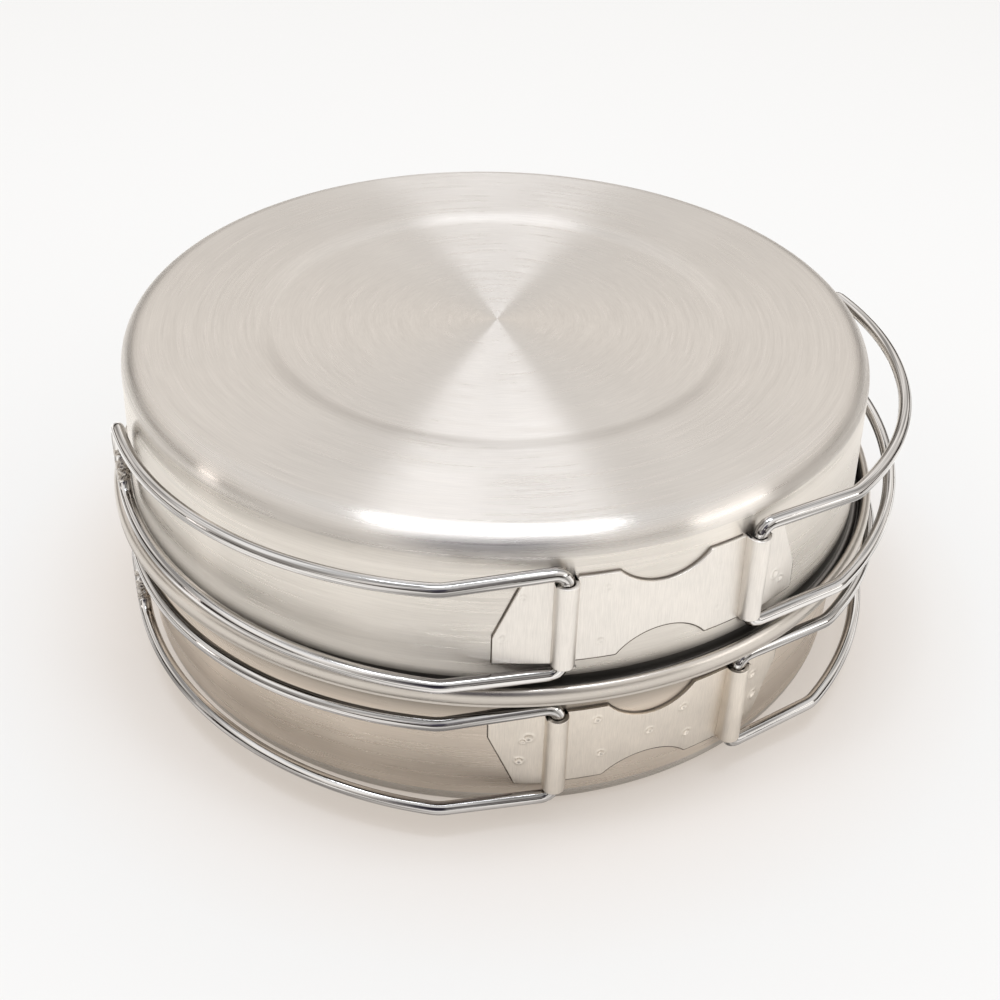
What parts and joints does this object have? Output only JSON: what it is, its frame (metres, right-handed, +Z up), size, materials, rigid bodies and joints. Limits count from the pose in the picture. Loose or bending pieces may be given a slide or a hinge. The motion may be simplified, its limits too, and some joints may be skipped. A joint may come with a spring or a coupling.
{
  "type": "cooking pot set",
  "caption": "Round camp pot with a shallow pan turned over on it as a lid, both of thin pressed steel with folding wire loop handles on welded brackets.",
  "frame": {"origin": "centre of the pot's underside, in the plane it stands on", "axes": "+Z up along the vessels' axis, -Y towards the brackets and hinge pins, +X to the right seen from the brackets' side"},
  "size_m": [0.1625, 0.16, 0.0652],
  "materials": {
    "shell_steel": "turned and brushed stainless sheet",
    "bracket_steel": "satin stainless sheet",
    "wire_steel": "polished stainless wire"
  },
  "bodies": {
    "pot": {"pot_body": "shell_steel", "pot_bracket": "bracket_steel"},
    "pan": {"pan_body": "shell_steel", "pan_bracket": "bracket_steel"},
    "pot_handle_left": {"pot_handle_left": "wire_steel"},
    "pot_handle_right": {"pot_handle_right": "wire_steel"},
    "pan_handle_left": {"pan_handle_left": "wire_steel"},
    "pan_handle_right": {"pan_handle_right": "wire_steel"}
  },
  "joints": [
    {"name": "pan_lift", "type": "slide", "parent": "pot", "child": "pan", "axis": [0, 0, 1], "range_m": [0, 0.06]},
    {"name": "pot_left_handle_swing", "type": "hinge", "parent": "pot", "child": "pot_handle_left", "pos_m": [-0.01845, -0.07454, 0.0172], "axis": [0, 0, 1], "range_deg": [-0.4, 138]},
    {"name": "pot_right_handle_swing", "type": "hinge", "parent": "pot", "child": "pot_handle_right", "pos_m": [0.01845, -0.07454, 0.0172], "axis": [0, 0, -1], "range_deg": [-1.1, 137.3]},
    {"name": "pan_left_handle_swing", "type": "hinge", "parent": "pan", "child": "pan_handle_left", "pos_m": [-0.0186, -0.07517, 0.048], "axis": [0, 0, 1], "range_deg": [-0.5, 137.5]},
    {"name": "pan_right_handle_swing", "type": "hinge", "parent": "pan", "child": "pan_handle_right", "pos_m": [0.0186, -0.07517, 0.048], "axis": [0, 0, -1], "range_deg": [-2.8, 135.2]}
  ]
}
